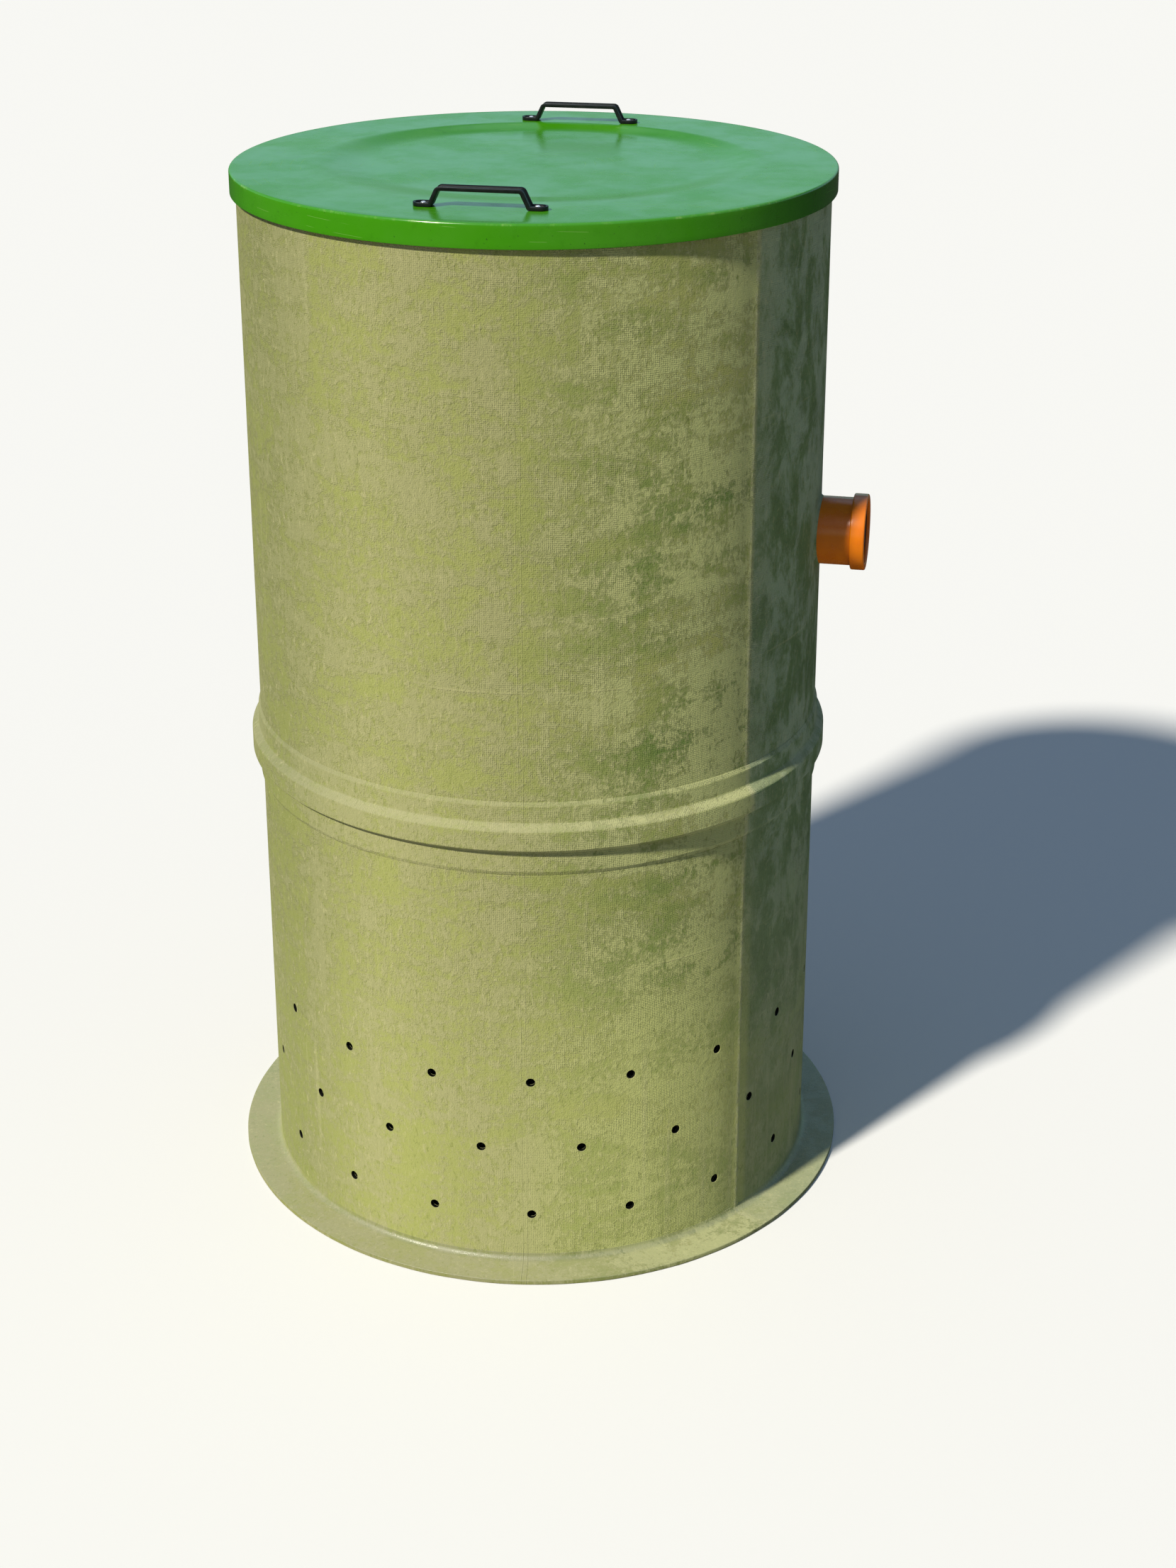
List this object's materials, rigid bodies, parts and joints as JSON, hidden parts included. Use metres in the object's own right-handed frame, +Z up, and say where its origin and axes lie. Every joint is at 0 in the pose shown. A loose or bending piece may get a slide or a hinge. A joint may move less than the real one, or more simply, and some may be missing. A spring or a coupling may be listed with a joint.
{
  "type": "soakaway well",
  "caption": "Upright glass-fibre drainage barrel with rows of seep holes, a stiffening rib, a base flange, a side pipe socket and a lift-off lid with two handles.",
  "frame": {"origin": "on the barrel's axis at the underside of the base flange", "axes": "+Z up along the barrel's axis, +X out of the inlet socket's mouth"},
  "size_m": [1.1465, 1.129, 1.8723],
  "materials": {
    "laminate": "khaki glass-fibre laminate with a faint woven relief, chalky patches and pits",
    "lid_gelcoat": "green gelcoat, semi-gloss, fine scratches and worn edges",
    "black_plastic": "black moulded plastic, satin",
    "drain_plastic": "orange drain pipe plastic, smooth and glossy",
    "seal_rubber": "black seal rubber"
  },
  "bodies": {
    "well": {"lower_wall_1": "laminate", "lower_wall_2": "laminate", "lower_wall_3": "laminate", "lower_wall_4": "laminate", "lower_wall_5": "laminate", "lower_wall_6": "laminate", "lower_wall_7": "laminate", "lower_wall_8": "laminate", "upper_wall_1": "laminate", "upper_wall_2": "laminate", "upper_wall_3": "laminate", "upper_wall_4": "laminate", "upper_wall_5": "laminate", "upper_wall_6": "laminate", "upper_wall_7": "laminate", "upper_wall_8": "laminate", "rib_1": "laminate", "rib_2": "laminate", "rib_3": "laminate", "rib_4": "laminate", "rib_5": "laminate", "rib_6": "laminate", "rib_7": "laminate", "rib_8": "laminate", "base_flange_1": "laminate", "base_flange_2": "laminate", "base_flange_3": "laminate", "base_flange_4": "laminate", "base_flange_5": "laminate", "base_flange_6": "laminate", "base_flange_7": "laminate", "base_flange_8": "laminate", "foot_fillet": "laminate", "inlet_collar": "laminate", "inlet_sleeve": "drain_plastic", "inlet_seal": "seal_rubber"},
    "lid": {"lid_panel": "lid_gelcoat", "lid_skirt": "lid_gelcoat", "handle_front": "black_plastic", "handle_back": "black_plastic"}
  },
  "joints": [
    {"name": "lid_lift", "type": "slide", "parent": "well", "child": "lid", "axis": [0, 0, 1], "range_m": [0, 0.25]}
  ]
}
